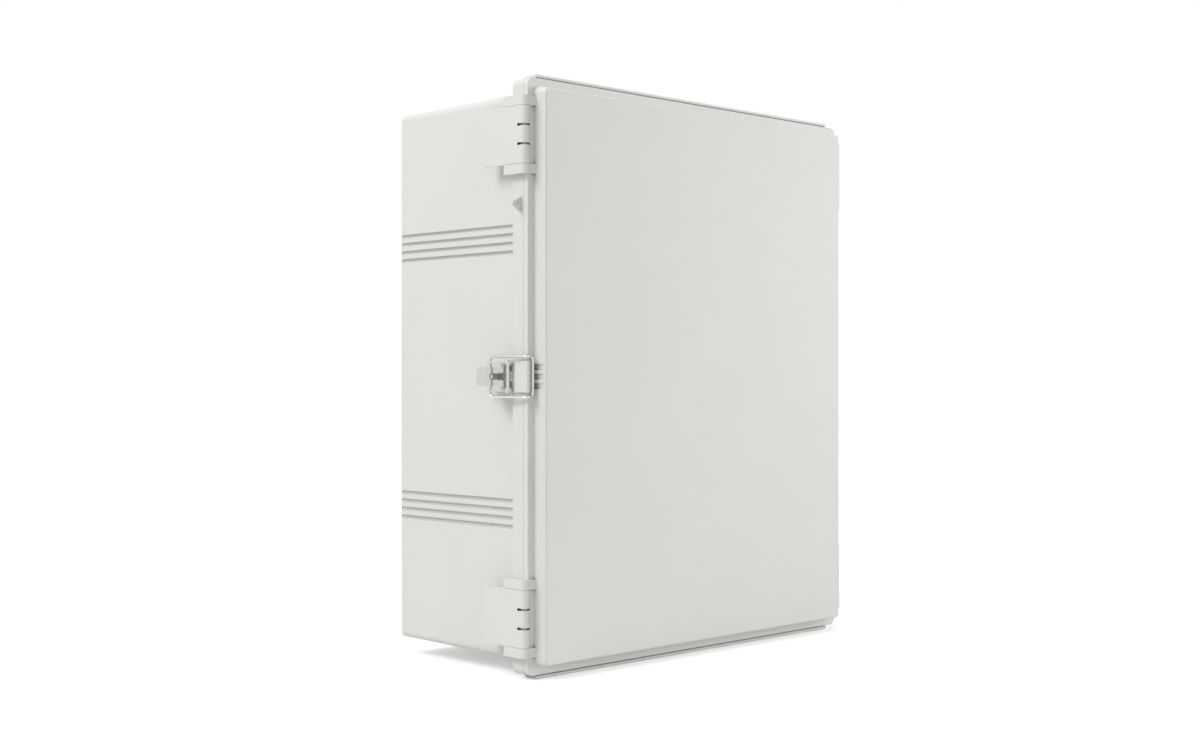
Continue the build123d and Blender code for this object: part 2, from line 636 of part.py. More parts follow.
def flap_profile():
    """Barrel, thick body with its hooked nose, and thin finger plate, seen from above."""
    inner_x = SIDE_X - SIDE_CLEARANCE
    nose_x = SIDE_X + FLAP_NOSE_REACH
    nose_rear = FLAP_NOSE_SETBACK + FLAP_NOSE_THICK
    plate_outer = UNIT_OUTER_X + FLAP_PLATE_RECESS
    plate_inner = plate_outer + FLAP_PLATE_THICK
    body = plan_polygon([
        (UNIT_OUTER_X, AXIS_SETBACK), (inner_x, AXIS_SETBACK), (inner_x, FLAP_NOSE_SETBACK),
        (nose_x, FLAP_NOSE_SETBACK), (nose_x, FLAP_NOSE_SETBACK + FLAP_NOSE_TIP),
        (inner_x, nose_rear), (plate_inner, FLAP_BODY_SETBACK + FLAP_NECK),
        (plate_inner, FLAP_PLATE_SETBACK), (plate_outer, FLAP_PLATE_SETBACK),
        (plate_outer, FLAP_BODY_SETBACK), (UNIT_OUTER_X, FLAP_BODY_SETBACK - FLAP_BODY_BEVEL)])
    return body + plan_circle(LATCH_AXIS_X, AXIS_SETBACK, BARREL_RADIUS)


def flap_slot_profile():
    """Band round the front of the barrel, of the slots' depth, seen from above."""
    slot_rear = AXIS_SETBACK + FLAP_SLOT_PAST_AXIS
    band = plan_circle(LATCH_AXIS_X, AXIS_SETBACK, BARREL_RADIUS + PAST)
    band += plan_rect(UNIT_OUTER_X - PAST, LATCH_AXIS_X, AXIS_SETBACK, slot_rear)
    core = plan_circle(LATCH_AXIS_X, AXIS_SETBACK, BARREL_RADIUS - FLAP_SLOT_DEPTH)
    core += plan_rect(UNIT_OUTER_X + FLAP_SLOT_DEPTH, LATCH_AXIS_X + BARREL_RADIUS + PAST,
                      AXIS_SETBACK, slot_rear + BARREL_RADIUS)
    return band - core


def latch_flap(z):
    low = z - UNIT_HEIGHT / 2
    high = z + UNIT_HEIGHT / 2
    flap = upright(flap_profile(), low, high)
    rear = flap.edges().filter_by(Axis.Z).group_by(Axis.Y)[-1]
    flap = fillet(rear, FLAP_EDGE_ROUND)
    flap -= rod(LATCH_AXIS_X, AXIS_SETBACK, PIN_RADIUS + RUNNING_FIT, low, high)
    for side in (-1, 1):
        centre = z + side * FLAP_SLOT_SPREAD
        half = FLAP_SLOT_HEIGHT / 2
        flap -= upright(flap_slot_profile(), centre - half, centre + half)
        flap -= side_rod(AXIS_SETBACK + FLAP_SLOT_PAST_AXIS, centre, FLAP_RELIEF_RADIUS,
                         UNIT_OUTER_X - PAST, UNIT_OUTER_X + FLAP_RELIEF_DEPTH)
    return flap


def unit_pin(axis_x, z):
    """Steel pin through the two ears and what turns between them."""
    reach = EAR_TOP - PIN_END_INSET
    pin = rod(axis_x, AXIS_SETBACK, PIN_RADIUS, z - reach, z + reach)
    return chamfer(pin.edges(), PIN_BEVEL)


def lever_side_profile():
    """Side view of the lever: round boss at the pivot, straight back, sloped end."""
    boss = plan_circle(LEVER_AXIS_X, LEVER_AXIS_SETBACK, LEVER_BOSS)
    front = LEVER_AXIS_SETBACK + LEVER_BOSS / 4
    cheek = plan_polygon([
        (LEVER_AXIS_X - LEVER_BOSS + LEVER_CHEEK_STEP, front), (LEVER_OUTER_X, LIP_START_SETBACK),
        (LEVER_OUTER_X, BAIL_AXIS_SETBACK), (LEVER_OUTER_X + LEVER_CHEEK_SLOPE, LEVER_REAR_SETBACK),
        (LEVER_WEB_X, LEVER_REAR_SETBACK), (LEVER_WEB_X, LEVER_WEB_SETBACK),
        (LEVER_AXIS_X + LEVER_BOSS, front)])
    return boss + cheek


def lever_tail():
    """Finger tail that leaves the web and turns outward, its end corners rounded."""
    web_outer = LEVER_WEB_X - LEVER_SHEET
    run_x = LEVER_TAIL_X - web_outer
    run_y = LEVER_TAIL_SETBACK - LEVER_REAR_SETBACK
    lean = LEVER_SHEET * hypot(run_x, run_y) / run_y
    root = LEVER_REAR_SETBACK - ROOT
    tail = plan_polygon([
        (web_outer, root), (LEVER_WEB_X, root), (LEVER_WEB_X, LEVER_REAR_SETBACK),
        (LEVER_TAIL_X + lean, LEVER_TAIL_SETBACK), (LEVER_TAIL_X, LEVER_TAIL_SETBACK),
        (web_outer, LEVER_REAR_SETBACK)])
    height = 2 * LEVER_TAIL_HALF_HEIGHT
    tail = upright(tail, -LEVER_TAIL_HALF_HEIGHT, LEVER_TAIL_HALF_HEIGHT)
    length = 2 * run_y
    middle = (LEVER_TAIL_X - PAST, y_at(LEVER_TAIL_SETBACK) - length / 2, 0)
    side_view = Plane(origin=middle, x_dir=(0, 1, 0), z_dir=(1, 0, 0))
    face = RectangleRounded(length, height, LEVER_TAIL_CORNER)
    return tail & extrude(side_view * face, LEVER_WEB_X - LEVER_TAIL_X + 2 * PAST)


def draw_lever():
    """Folded steel channel, open outward, with two lips turned in over its cheeks."""
    lever = upright(lever_side_profile(), -LEVER_HALF_HEIGHT, LEVER_HALF_HEIGHT)
    inside = LEVER_HALF_HEIGHT - LEVER_SHEET
    lip_edge = LEVER_HALF_HEIGHT - LEVER_LIP_HEIGHT
    slot = STAPLE_HALF_HEIGHT + STAPLE_SLOT_GAP
    ahead = LEVER_AXIS_SETBACK - LEVER_BOSS - PAST
    behind = LEVER_REAR_SETBACK + PAST
    outer = LEVER_OUTER_X - PAST
    lip_inner = LEVER_OUTER_X + LEVER_SHEET
    web_outer = LEVER_WEB_X - LEVER_SHEET
    inner = LEVER_WEB_X + PAST
    for x_low, x_high, front, rear, half in (
            (lip_inner, web_outer, ahead, behind, inside),
            (web_outer, inner, ahead, LEVER_WEB_SETBACK, inside),
            (outer, lip_inner, ahead, LIP_START_SETBACK, inside),
            (outer, lip_inner, LIP_END_SETBACK, behind, inside),
            (outer, lip_inner, ahead, behind, lip_edge),
            (web_outer - PAST, inner, ahead, STAPLE_SLOT_SETBACK, slot)):
        lever -= upright(plan_rect(x_low, x_high, front, rear), -half, half)
    lever += lever_tail()
    for x, setback, radius in (
            (LEVER_AXIS_X, LEVER_AXIS_SETBACK, PIVOT_PIN_RADIUS),
            (BAIL_AXIS_X, BAIL_AXIS_SETBACK, WIRE_RADIUS)):
        lever -= rod(x, setback, radius + RUNNING_FIT, -LEVER_HALF_HEIGHT, LEVER_HALF_HEIGHT)
    return lever


def wire_bail():
    """Closed loop of wire, its front bar inside the keeper's crest: one half swept, then mirrored."""
    rear = (BAIL_AXIS_X, y_at(BAIL_AXIS_SETBACK))
    shoulder = (WIRE_SHOULDER_X, y_at(WIRE_SEAT_SETBACK))
    seat = (WIRE_SEAT_X, y_at(WIRE_SEAT_SETBACK))
    top = WIRE_HALF_HEIGHT
    path = FilletPolyline((*rear, 0), (*rear, top), (*shoulder, top), (*seat, top), (*seat, 0),
                          radius=WIRE_BEND)
    half = sweep(Plane(origin=(*rear, 0), z_dir=(0, 0, 1)) * Circle(WIRE_RADIUS), path)
    return half + mirror(half, about=Plane.XY)


def bracket_ear_profile():
    """Bracket ear, from the plate round to the lever's pivot."""
    boss = plan_circle(LEVER_AXIS_X, LEVER_AXIS_SETBACK, BRACKET_EAR_RADIUS)
    neck = plan_polygon([
        (PAD_X, BRACKET_SETBACK), (LEVER_AXIS_X, LEVER_AXIS_SETBACK + BRACKET_NECK),
        (LEVER_AXIS_X, LEVER_AXIS_SETBACK + BRACKET_EAR_RADIUS), (PAD_X, BRACKET_EAR_REAR)])
    return boss + neck


def staple():
    """Flat tongue with a hole, which stands out from the bracket through the lever."""
    rear = STAPLE_SETBACK + STAPLE_THICK
    tongue = upright(plan_rect(STAPLE_TIP_X, PAD_X, STAPLE_SETBACK, rear),
                     -STAPLE_HALF_HEIGHT, STAPLE_HALF_HEIGHT)
    tongue = fillet(tongue.edges().filter_by(Axis.Y).group_by(Axis.X)[0], STAPLE_CORNER)
    hole_x = STAPLE_TIP_X + STAPLE_HALF_HEIGHT
    return tongue - front_rod(hole_x, 0, STAPLE_HOLE_RADIUS, DEPTH - rear - PAST,
                              DEPTH - STAPLE_SETBACK + PAST)


def draw_latch_bracket():
    """Folded bracket: plate, two ears for the pivot and the staple."""
    half = LEVER_HALF_HEIGHT - LEVER_SHEET - BRACKET_EAR_GAP
    plate_outer = PAD_X - BRACKET_PLATE
    plate = plan_rect(plate_outer, PAD_X, BRACKET_SETBACK, BRACKET_REAR_SETBACK)
    bracket = upright(plate, -half, half)
    bracket = fillet(bracket.edges().filter_by(Axis.X).group_by(Axis.Y)[-1], BRACKET_CORNER)
    for low in (-half, half - BRACKET_EAR):
        bracket += upright(bracket_ear_profile(), low, low + BRACKET_EAR)
    bracket += staple()
    bracket -= rod(LEVER_AXIS_X, LEVER_AXIS_SETBACK, PIVOT_PIN_RADIUS + PIN_FIT, -half, half)
    for z in (LATCH_SCREW_Z, -LATCH_SCREW_Z):
        bracket -= side_rod(LATCH_SCREW_SETBACK, z, LATCH_SCREW_RADIUS + LATCH_SCREW_HOLE_GAP,
                            plate_outer - PAST, PAD_X)
    return bracket


def draw_latch_pivot_pin():
    """Rivet with a bevelled head outside each cheek of the lever."""
    reach = LEVER_HALF_HEIGHT + BRACKET_EAR_GAP
    pin = rod(LEVER_AXIS_X, LEVER_AXIS_SETBACK, PIVOT_PIN_RADIUS, -reach, reach)
    head = rod(LEVER_AXIS_X, LEVER_AXIS_SETBACK, PIVOT_HEAD_RADIUS, reach, reach + PIVOT_HEAD_HEIGHT)
    head = chamfer(head.edges().group_by(Axis.Z)[-1], PIVOT_HEAD_BEVEL)
    return pin + head + mirror(head, about=Plane.XY)


def draw_latch_screw(z):
    under_head = PAD_X - BRACKET_PLATE
    top = under_head - LATCH_SCREW_HEAD
    shank = side_rod(LATCH_SCREW_SETBACK, z, LATCH_SCREW_RADIUS, under_head, PAD_X + LATCH_SCREW_BITE)
    head = side_rod(LATCH_SCREW_SETBACK, z, LATCH_SCREW_HEAD_RADIUS, top, under_head)
    head = chamfer(head.edges().group_by(Axis.X)[0], LATCH_SCREW_HEAD_BEVEL)
    socket = side_rod(LATCH_SCREW_SETBACK, z, LATCH_SCREW_SOCKET, top - PAST,
                      top + LATCH_SCREW_SOCKET_DEPTH)
    return shank + head - socket


def mounting_plate():
    """Flat steel plate with cropped corners, so the wall holes stay in reach."""
    sheet = chamfer(Rectangle(PLATE_WIDTH, PLATE_HEIGHT).vertices(), PLATE_CORNER_CUT)
    plate = extrude(Plane.XZ.offset(POST_TOP) * sheet, PLATE_THICK)
    for x, z in post_places():
        plate -= front_rod(x, z, PLATE_HOLE_RADIUS, POST_TOP - PAST, POST_TOP + PLATE_THICK + PAST)
    return plate


def mounting_plate_screw(x, z):
    under_head = POST_TOP + PLATE_THICK
    top = under_head + SCREW_HEAD
    shank = front_rod(x, z, SCREW_RADIUS, POST_TOP - SCREW_BITE, under_head)
    head = front_rod(x, z, SCREW_HEAD_RADIUS, under_head, top)
    head = chamfer(head.edges().group_by(Axis.Y)[0], SCREW_HEAD_BEVEL)
    hexagon = Pos(x, z) * RegularPolygon(SCREW_DRIVE_RADIUS, 6)
    drive = extrude(Plane.XZ.offset(top - SCREW_DRIVE_DEPTH) * hexagon, SCREW_DRIVE_DEPTH + PAST)
    return shank + head - drive


def plate_insert(x, z):
    bottom = POST_TOP - INSERT_LENGTH
    body = front_rod(x, z, INSERT_RADIUS, bottom, POST_TOP)
    return body - front_rod(x, z, SCREW_RADIUS + PIN_FIT, bottom - PAST, POST_TOP + PAST)


def all_parts():
    parts = {
        "base_shell": base_shell(),
        "door_shell": door_shell(),
        "door_gasket": door_gasket(),
        "draw_latch_bracket": draw_latch_bracket(),
        "draw_latch_pivot_pin": draw_latch_pivot_pin(),
        "draw_lever": draw_lever(),
        "wire_bail": wire_bail(),
        "mounting_plate": mounting_plate(),
    }
    for name, level in (("upper", 1), ("lower", -1)):
        parts[f"latch_flap_{name}"] = latch_flap(level * UNIT_Z)
        parts[f"latch_pin_{name}"] = unit_pin(LATCH_AXIS_X, level * UNIT_Z)
        parts[f"hinge_pin_{name}"] = unit_pin(HINGE_AXIS_X, level * UNIT_Z)
        parts[f"draw_latch_screw_{name}"] = draw_latch_screw(level * LATCH_SCREW_Z)
    for index, (x, z) in enumerate(post_places(), start=1):
        parts[f"mounting_plate_screw_{index}"] = mounting_plate_screw(x, z)
        parts[f"plate_insert_{index}"] = plate_insert(x, z)
    return parts


os.makedirs("parts", exist_ok=True)
for node, solid in all_parts().items():
    export_step(solid, f"parts/{node}.step")
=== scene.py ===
"""Electrical enclosure: finishes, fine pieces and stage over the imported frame."""

import bpy
import numpy as np
from bpy.props import FloatProperty, FloatVectorProperty, PointerProperty
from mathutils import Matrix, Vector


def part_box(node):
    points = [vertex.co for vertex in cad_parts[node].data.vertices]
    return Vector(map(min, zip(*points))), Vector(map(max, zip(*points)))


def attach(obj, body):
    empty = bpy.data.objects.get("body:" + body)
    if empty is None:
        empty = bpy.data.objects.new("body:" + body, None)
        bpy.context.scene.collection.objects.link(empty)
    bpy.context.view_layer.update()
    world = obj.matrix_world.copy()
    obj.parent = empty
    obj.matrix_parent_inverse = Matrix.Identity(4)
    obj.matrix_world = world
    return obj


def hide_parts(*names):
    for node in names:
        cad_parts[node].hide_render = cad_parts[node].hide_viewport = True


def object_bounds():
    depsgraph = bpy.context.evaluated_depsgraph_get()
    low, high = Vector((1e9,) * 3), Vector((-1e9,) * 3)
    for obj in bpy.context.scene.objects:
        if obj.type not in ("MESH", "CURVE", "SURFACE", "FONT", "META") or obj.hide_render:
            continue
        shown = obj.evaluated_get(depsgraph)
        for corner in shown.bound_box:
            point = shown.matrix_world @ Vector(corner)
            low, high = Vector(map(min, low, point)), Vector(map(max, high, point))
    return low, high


bl_info = {
    "name": "Electrical enclosure",
    "version": (1, 0, 0),
    "blender": (4, 5, 0),
    "location": "3D View > Sidebar > Enclosure",
    "description": "Finishes, wire loop, seal, screws and stage for a wall enclosure",
    "category": "Object",
}

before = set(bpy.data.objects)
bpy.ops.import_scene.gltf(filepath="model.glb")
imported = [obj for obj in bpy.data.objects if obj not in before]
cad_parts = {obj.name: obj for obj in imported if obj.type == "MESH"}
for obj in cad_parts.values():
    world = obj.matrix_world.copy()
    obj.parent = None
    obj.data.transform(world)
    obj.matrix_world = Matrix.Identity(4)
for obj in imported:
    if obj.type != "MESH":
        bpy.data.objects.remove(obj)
CAD_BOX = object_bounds()

# Nodes of the frame by finish
MOULDED = ("base_shell", "door_shell", "latch_flap_upper", "latch_flap_lower")
SHEET_STEEL = ("draw_lever", "draw_latch_bracket")
STEEL_PINS = ("latch_pin_upper", "latch_pin_lower", "hinge_pin_upper", "hinge_pin_lower")
INSERTS = ("plate_insert_1", "plate_insert_2", "plate_insert_3", "plate_insert_4")
LATCH_SCREWS = ("draw_latch_screw_upper", "draw_latch_screw_lower")
PLATE_SCREWS = (
    "mounting_plate_screw_1", "mounting_plate_screw_2",
    "mounting_plate_screw_3", "mounting_plate_screw_4")


def middle(node):
    """Middle of a node's box at rest."""
    low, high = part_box(node)
    return (np.array(low) + np.array(high)) / 2


def span(node):
    """Size of a node's box at rest, along each axis."""
    low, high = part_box(node)
    return np.array(high) - np.array(low)


# Sizes read off the frame, in metres
WIRE_LOW, WIRE_HIGH = (np.array(corner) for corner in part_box("wire_bail"))
SEAL_LOW, SEAL_HIGH = (np.array(corner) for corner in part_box("door_gasket"))

# Sizes that the box of a node doesn't tell, in metres
WIRE_DIAMETER = 0.003
WIRE_SHOULDER_IN = 0.0083
SEAL_CORNER = 0.003
RIVET_HEAD = 0.0016
RIVET_SHANK = 0.0019
PLATE_SCREW_HEAD = 0.0032
PLATE_SCREW_SHANK = 0.00245
PLATE_SCREW_SOCKET = 0.0022
PLATE_SCREW_SOCKET_DEPTH = 0.0018
LATCH_SCREW_HEAD = 0.002
LATCH_SCREW_SHANK = 0.0019
LATCH_SCREW_SOCKET = 0.0013
LATCH_SCREW_SOCKET_DEPTH = 0.0012

# Form of the foam strip: power that draws its round section out towards a square, and the dent's width
# as a share of the strip's
STRIP_POWER = 0.3
DENT_SHARE = 0.22

# Form of the screws: where the dome begins, where the lip round the socket ends and how far out the
# socket's walls are looked for, as shares of the socket's radius
DOME_FROM = 1.25
LIP_WIDTH = 1.22
SOCKET_REACH = 1.001

# Top of the socket's walls as a share of the head's height, and the lip's rise over the dome in metres
SOCKET_TOP = 0.97
LIP_RISE = 0.00002

# Flat end of a screw: its radius and its length as shares of the shank's radius
POINT_WIDTH = 0.72
POINT_LENGTH = 0.25

# Pitches over which the thread grows to its full depth under the head
THREAD_FADE = 2

# Fineness of the meshes: steps along a bend, a head or a pitch, and turns round a section
BEND_STEPS = 20
STRIP_BEND_STEPS = 10
SCREW_HEAD_STEPS = 14
RIVET_HEAD_STEPS = 12
THREAD_STEPS = 10
WIRE_TURNS = 32
STRIP_TURNS = 64
ROUND_TURNS = 48

# Angle between two faces from which their edge is shown sharp
SHARP_EDGE = np.radians(38)

# Finishes. Tones are shares of a finish's colour. A scale counts the pattern in a metre, and lines give
# one scale for each axis. A spread is how far the roughness runs below and above its middle. Heights of
# bumps are in metres, and a strength is the share of a bump that shows.

# Moulded plastic
PLASTIC_TONES = (0.975, 1.02)
PLASTIC_CLOUD_SCALE = 14.0
PLASTIC_GRAIN_SCALE = 1500.0
PLASTIC_GRAIN_STRENGTH = 0.35
PLASTIC_SATIN_SCALE = 60.0
PLASTIC_SPREAD = (-0.04, 0.04)
PLASTIC_GLOSS = 0.35

# Painted shade in the recesses of the plastic: tone of the painted shade at its deepest, and the shares
# of open space at which a spot is that dark and from which it has the plain colour
PAINTED_SHADE_TONE = 0.12
PAINTED_SHADE_DEEP = 0.08
PAINTED_SHADE_OPEN = 0.62

# Drawn steel of sheet, pins, rivet, screws and wire
STEEL_TONES = (0.86, 1.1)
STEEL_SPREAD = (-0.06, 0.1)
STEEL_LINE_HEIGHT = 0.00001
STEEL_LINE_STRENGTH = 0.5
SHEET_LINES = (900, 900, 30)
PIN_LINES = (30, 30, 1800)
RIVET_LINES = (60, 60, 60)
SCREW_LINES = (200, 200, 200)
WIRE_TONES = (0.9, 1.1)
WIRE_SPREAD = (-0.1, 0.04)
WIRE_LINES = (60, 40, 1)

# Galvanised plate
PLATE_TONES = (0.82, 1.08)
PLATE_ROUGHNESS = (0.34, 0.5)
PLATE_GRAIN_SCALE = 420.0
PLATE_GRAIN_HEIGHT = 0.00002
PLATE_GRAIN_STRENGTH = 0.3

# Turned brass
BRASS_DARK = (0.62, 0.45, 0.2)
BRASS_LIGHT = (0.8, 0.62, 0.32)
BRASS_ROUGHNESS = (0.24, 0.38)
BRASS_LINES = (40, 4200, 40)

# Foam
FOAM_TONES = (0.6, 1.6)
FOAM_ROUGHNESS = (0.86, 0.96)
FOAM_CELL_SCALE = 1300.0
FOAM_CELL_HEIGHT = 0.00015
FOAM_CELL_STRENGTH = 0.6
FOAM_PATCH_SCALE = 300.0

# Stage: the white of the floor that is its own, the grey of its paint and the grey of the dark cards
FLOOR_OWN_WHITE = 0.42
FLOOR_PAINT = 0.8
CARD_PAINT = 0.02

# Places on the stage, in metres
FLOOR_GAP = 0.0005
FLOOR_HALF = 6.0
FLOOR_WHITE_FROM = 0.75
FLOOR_WHITE_BY = 1.7
FRONT_LIGHT_PLACE = (3.4, -2.4, 0.55)
FRONT_LIGHT_AIM = (0, -0.2, 0)
SIDE_LIGHT_PLACE = (-2.5, 0.25, 2.1)
SIDE_LIGHT_AIM = (-0.2, -0.1, 0)
TOP_LIGHT_PLACE = (0, -0.5, 2.4)
TOP_LIGHT_AIM = (0, -0.2, 0.3)
LIGHT_WIDTH = 1.5
DARK_CARD_PLACES = {"dark_card_right": (1.5, -1.9, 0.1), "dark_card_top": (-0.5, -0.4, 1.9)}
DARK_CARD_AIM = (-0.25, -0.2, 0)
DARK_CARD_WIDTH = 1.5
CAMERA_PLACE = (-1.378, -1.450, 0.0016)

# Camera's turn in radians and its lens in millimetres
CAMERA_TURN = (np.pi / 2, 0, -np.pi / 4)
CAMERA_LENS = 50.0


# Properties

class MouldedFinish(bpy.types.PropertyGroup):
    colour: FloatVectorProperty(
        name="Colour", description="Colour of the moulded plastic", subtype="COLOR",
        size=3, min=0, max=1, default=(0.71, 0.72, 0.69))
    roughness: FloatProperty(
        name="Roughness", description="Roughness of the satin surface", min=0, max=1, default=0.5)
    # Reach of the painted shade in recesses: how far into a recess its walls are painted darker
    recess: FloatProperty(
        name="Recess depth", description="How far into a recess its walls turn darker",
        unit="LENGTH", subtype="DISTANCE", min=0, default=0.009, precision=4)
    grain: FloatProperty(
        name="Grain height", description="Height of the moulded grain", unit="LENGTH",
        subtype="DISTANCE", min=0, default=0.00003, precision=6)


class SteelFinish(bpy.types.PropertyGroup):
    colour: FloatVectorProperty(
        name="Colour", description="Colour of the bright steel", subtype="COLOR",
        size=3, min=0, max=1, default=(0.66, 0.65, 0.63))
    roughness: FloatProperty(
        name="Roughness", description="Roughness of the drawn steel", min=0, max=1, default=0.24)


class PlateFinish(bpy.types.PropertyGroup):
    colour: FloatVectorProperty(
        name="Colour", description="Colour of the galvanised plate", subtype="COLOR",
        size=3, min=0, max=1, default=(0.6, 0.62, 0.63))
    spangle: FloatProperty(
        name="Spangle size", description="Width of one crystal of zinc", unit="LENGTH",
        subtype="DISTANCE", min=0.001, default=0.012)


class WireLoop(bpy.types.PropertyGroup):
    diameter: FloatProperty(
        name="Wire diameter", description="Diameter of the wire", unit="LENGTH",
        subtype="DISTANCE", min=0.0005, default=WIRE_DIAMETER, precision=4)
    bend: FloatProperty(
        name="Bend radius", description="Radius of the wire's bends, on its centre line",
        unit="LENGTH", subtype="DISTANCE", min=0.001, default=0.004, precision=4)


class FoamSeal(bpy.types.PropertyGroup):
    width: FloatProperty(
        name="Strip width", description="Width of the foam strip", unit="LENGTH",
        subtype="DISTANCE", min=0.001, default=0.006, precision=4)
    dent: FloatProperty(
        name="Dent depth", description="Depth of the line that the base's tongue leaves",
        unit="LENGTH", subtype="DISTANCE", min=0, default=0.0006, precision=5)
    colour: FloatVectorProperty(
        name="Colour", description="Colour of the foam", subtype="COLOR",
        size=3, min=0, max=1, default=(0.05, 0.05, 0.052))


class ScrewShape(bpy.types.PropertyGroup):
    pitch: FloatProperty(
        name="Pitch", description="Pitch of the screws' thread", unit="LENGTH",
        subtype="DISTANCE", min=0.0002, default=0.0008, precision=5)
    depth: FloatProperty(
        name="Thread depth", description="Depth of the screws' thread", unit="LENGTH",
        subtype="DISTANCE", min=0, default=0.00035, precision=5)


class Stage(bpy.types.PropertyGroup):
    key_power: FloatProperty(
        name="Front light", description="Power of the light on the door", unit="POWER",
        min=0, default=74)
    side_power: FloatProperty(
        name="Side light", description="Power of the light on the latch side", unit="POWER",
        min=0, default=54)
    top_power: FloatProperty(
        name="Top light", description="Power of the light from above", unit="POWER",
        min=0, default=9)
    surround: FloatProperty(
        name="Surround", description="Strength of the even light from all round", min=0, default=0.54)


# Node helpers

class Value:
    """A number socket that adds Math nodes when it is used in an expression."""

    def __init__(self, nodes, socket):
        self.nodes = nodes
        self.socket = socket

    def combine(self, operation, first, second):
        """What a Math node makes of two numbers or values."""
        node = self.nodes.add("ShaderNodeMath", {"operation": operation}, {0: first, 1: second})
        return Value(self.nodes, node.outputs[0])

    def __add__(self, other):
        return self.combine("ADD", self, other)

    def __radd__(self, other):
        return self.combine("ADD", other, self)

    def __mul__(self, other):
        return self.combine("MULTIPLY", self, other)

    def __rmul__(self, other):
        return self.combine("MULTIPLY", other, self)


class Nodes:
    """The node tree of a material or of the world, emptied and built up again."""

    def __init__(self, owner):
        owner.use_nodes = True
        self.tree = owner.node_tree
        self.tree.nodes.clear()

    def add(self, kind, settings=None, inputs=None):
        """A node of this kind: its settings first, then values or links for its sockets."""
        node = self.tree.nodes.new(kind)
        for name, value in (settings or {}).items():
            setattr(node, name, value)
        for key, value in (inputs or {}).items():
            if isinstance(value, Value):
                value = value.socket
            if isinstance(value, bpy.types.NodeSocket):
                self.tree.links.new(value, node.inputs[key])
            else:
                node.inputs[key].default_value = value
        return node

    def value(self, kind, output, settings=None, inputs=None):
        """A number that a node of this kind puts out."""
        return Value(self, self.add(kind, settings, inputs).outputs[output])

    def noise(self, where, scale, detail=2):
        """A soft random pattern between 0 and 1."""
        return self.value(
            "ShaderNodeTexNoise", "Fac", None, {"Vector": where, "Scale": scale, "Detail": detail})

    def place(self, scale=(1, 1, 1)):
        """Object coordinates in metres, stretched by a scale along each axis."""
        coordinates = self.add("ShaderNodeTexCoord").outputs["Object"]
        return self.add("ShaderNodeMapping", None, {"Vector": coordinates, "Scale": scale}).outputs[0]

    def blend(self, factor, low, high):
        """Colour between a fixed colour and one from another node, by a factor.

        In a Mix node, sockets 6 and 7 and output 2 are those for colours.
        """
        ends = {0: factor, 6: (*low, 1), 7: high}
        return self.add("ShaderNodeMix", {"data_type": "RGBA"}, ends).outputs[2]

    def tint(self, factor, low, high):
        """Colour between two fixed colours, by a factor."""
        return self.blend(factor, low, (*high, 1))

    def ramp(self, value, low, high):
        """0 up to a low value, 1 from a high one, and smooth between them."""
        return self.value(
            "ShaderNodeMapRange", 0, {"interpolation_type": "SMOOTHSTEP"},
            {"Value": value, "From Min": low, "From Max": high})

    def surface(self, **inputs):
        """Principled surface, its inputs given by name with underscores for spaces."""
        named = {name.replace("_", " "): value for name, value in inputs.items()}
        shader = self.add("ShaderNodeBsdfPrincipled", None, named)
        self.add("ShaderNodeOutputMaterial", None, {"Surface": shader.outputs[0]})
        return shader

    def seen(self):
        """1 for what the camera, a gloss or a glass sees, and 0 for soft light."""
        path = self.add("ShaderNodeLightPath")
        camera, gloss, glass = (
            Value(self, path.outputs[name])
            for name in ("Is Camera Ray", "Is Glossy Ray", "Is Transmission Ray"))
        return camera + gloss + glass

    def bump(self, height, distance, strength):
        """Normal that a height pattern tilts, its full height being a distance in metres."""
        node = self.add(
            "ShaderNodeBump", None,
            {"Height": height, "Distance": distance, "Strength": strength})
        return node.outputs["Normal"]


def new_material(name):
    """An empty material and its nodes."""
    material = bpy.data.materials.new(name)
    return material, Nodes(material)


def shade(colour, factor):
    """Colour times a factor, with no channel over 1."""
    return tuple(min(1.0, channel * factor) for channel in colour)


def tones(colour, factors):
    """The darkest and the lightest tone of a colour."""
    return [shade(colour, factor) for factor in factors]


def between(ends, share, middle_value=0.0):
    """A value that runs between two ends, both counted from a middle value, by a pattern's share."""
    low, high = ends
    return middle_value + low + (high - low) * share


def moulded_plastic(finish):
    """Light grey plastic: satin, finely grained, faintly cloudy, and darker deep in its own recesses.

    Its darkness in a recess is painted shade: it follows the share of open space round a point, within
    the recess depth.
    """
    material, nodes = new_material("light_grey_plastic")
    where = nodes.place()
    cloud = nodes.noise(where, PLASTIC_CLOUD_SCALE, detail=3)
    grain = nodes.noise(where, PLASTIC_GRAIN_SCALE)
    satin = nodes.noise(where, PLASTIC_SATIN_SCALE)
    # Painted shade: the base colour turns darker where little open space lies round a point, as in a
    # recess
    open_share = nodes.value(
        "ShaderNodeAmbientOcclusion", "AO", {"only_local": True}, {"Distance": finish.recess})
    unshaded_share = nodes.ramp(open_share, PAINTED_SHADE_DEEP, PAINTED_SHADE_OPEN)
    face = nodes.tint(cloud, *tones(finish.colour, PLASTIC_TONES))
    nodes.surface(
        Base_Color=nodes.blend(unshaded_share, shade(finish.colour, PAINTED_SHADE_TONE), face),
        Roughness=between(PLASTIC_SPREAD, satin, finish.roughness),
        Specular_IOR_Level=PLASTIC_GLOSS,
        Normal=nodes.bump(grain, finish.grain, PLASTIC_GRAIN_STRENGTH))
    return material


def drawn_steel(finish, name, scale):
    """Bright steel: a fine pattern, drawn out into lines along an axis that has a smaller scale."""
    material, nodes = new_material(name)
    lines = nodes.noise(nodes.place(scale), 1, detail=4)
    nodes.surface(
        Base_Color=nodes.tint(lines, *tones(finish.colour, STEEL_TONES)),
        Metallic=1.0,
        Roughness=between(STEEL_SPREAD, lines, finish.roughness),
        Normal=nodes.bump(lines, STEEL_LINE_HEIGHT, STEEL_LINE_STRENGTH))
    return material


